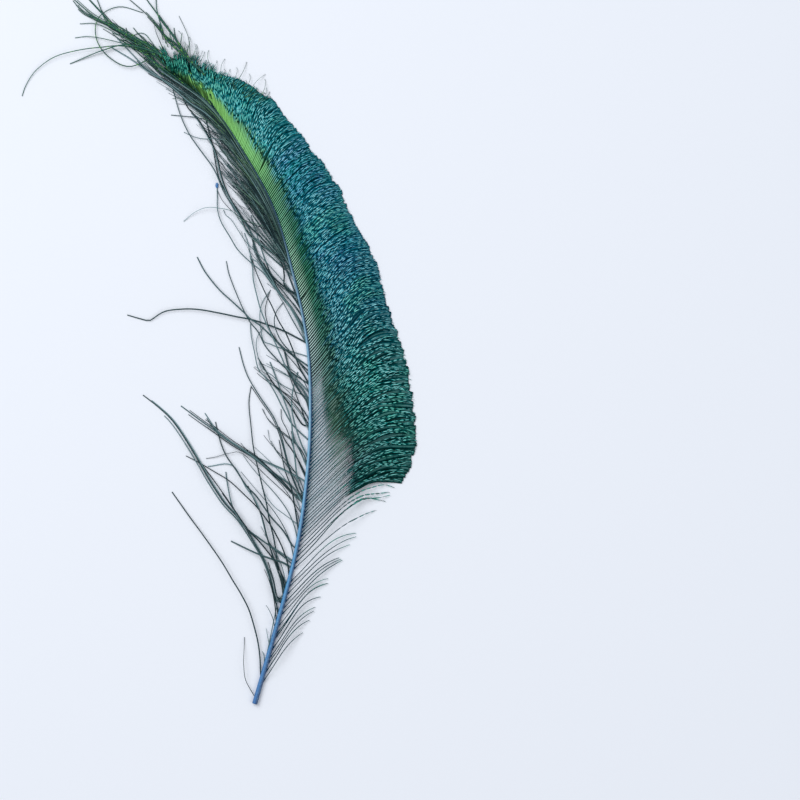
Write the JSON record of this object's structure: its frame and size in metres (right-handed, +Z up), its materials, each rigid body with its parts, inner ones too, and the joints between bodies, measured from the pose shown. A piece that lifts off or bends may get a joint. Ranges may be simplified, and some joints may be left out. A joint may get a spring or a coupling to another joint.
{
  "type": "peacock sword feather",
  "caption": "Dyed peacock sword feather lying flat: a curved, tapering quill with a dense iridescent vane on one side and a loose, dark one on the other.",
  "frame": {"origin": "middle of the underside of the feather's bounding box, on the surface it lies on", "axes": "+Y from the cut end of the quill towards the tip, +Z up out of the surface, +X towards the broad vane"},
  "size_m": [0.1996, 0.3574, 0.0076],
  "materials": {
    "quill": "smooth horn, dyed blue, slightly glossy",
    "iridescent_barbs": "iridescent barbs: lime green beside the shaft, teal and blue further out",
    "dark_barbs": "thin matt barbs, dark grey-green"
  },
  "bodies": {
    "root": {"shaft": "quill", "broad_vane": "iridescent_barbs", "narrow_vane": "dark_barbs"}
  },
  "joints": []
}
